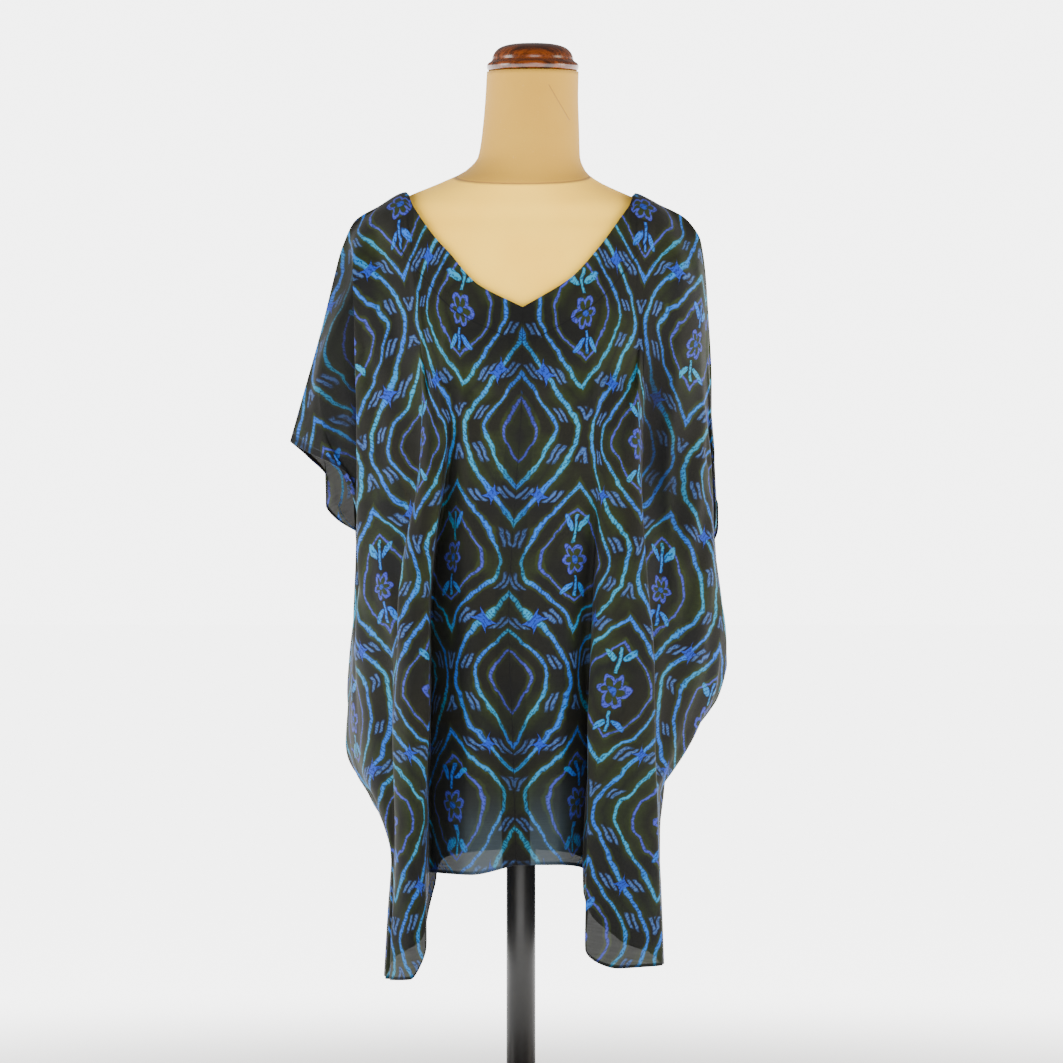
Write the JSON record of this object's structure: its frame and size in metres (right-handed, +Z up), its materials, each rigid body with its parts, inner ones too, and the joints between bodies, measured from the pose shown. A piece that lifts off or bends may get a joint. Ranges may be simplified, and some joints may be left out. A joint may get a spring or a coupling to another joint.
{
  "type": "kaftan on a dress form",
  "caption": "Sheer V-neck kaftan with wide dropped sleeves and a hem that falls to points at the sides, worn on a limbless dress form with a turned wood cap, pole and round base.",
  "frame": {"origin": "centre of the base's underside, on the pole's axis", "axes": "+X to the viewer's right, +Y away from the viewer, from the kaftan's front to its back, +Z up along the pole"},
  "size_m": [0.4822, 0.3431, 1.152],
  "materials": {
    "cloth": "sheer printed voile, matt",
    "facing": "sheer printed voile, matt",
    "form": "unbleached calico over padding",
    "wood": "dark varnished, glossy",
    "pole": "black, satin"
  },
  "bodies": {
    "root": {"front_left": "cloth", "front_right": "cloth", "back_left": "cloth", "back_right": "cloth", "neck_facing": "facing", "form_torso": "form", "neck_cap": "wood", "stand_pole": "pole", "stand_base": "wood"}
  },
  "joints": []
}
